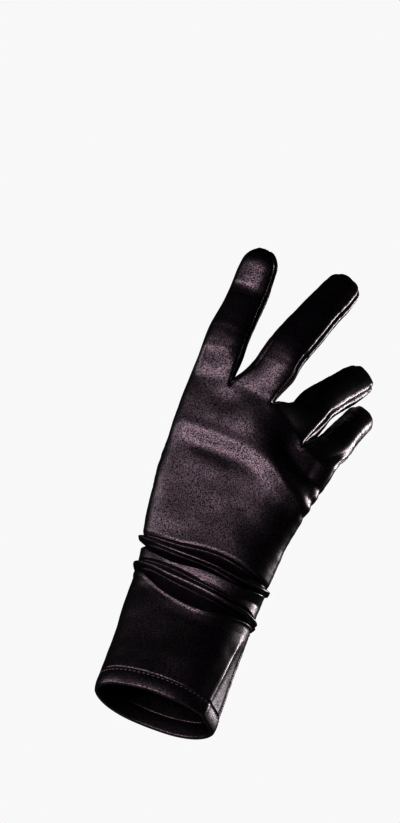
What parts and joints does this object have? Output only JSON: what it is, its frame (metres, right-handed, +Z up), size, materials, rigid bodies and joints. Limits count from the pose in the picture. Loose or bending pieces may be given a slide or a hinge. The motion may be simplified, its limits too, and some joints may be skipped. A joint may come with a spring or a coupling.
{
  "type": "wrist-length dress glove",
  "caption": "Right-hand wrist-length dress glove of dark aubergine stretch satin in its worn form, with set-in thumb, fourchettes, two cuff tucks and a stitched hem.",
  "frame": {"origin": "middle of the wrist opening, in the plane of the hem's edge", "axes": "+Z up the cuff to the fingertips, -Y out of the back of the hand, -X to the index finger's side"},
  "size_m": [0.0883, 0.0931, 0.2269],
  "materials": {
    "satin": "satin",
    "hem_satin": "satin"
  },
  "bodies": {
    "root": {"trank": "satin", "thumb": "satin", "fourchette_index_middle": "satin", "fourchette_middle_ring": "satin", "fourchette_ring_little": "satin", "hem": "hem_satin"}
  },
  "joints": []
}
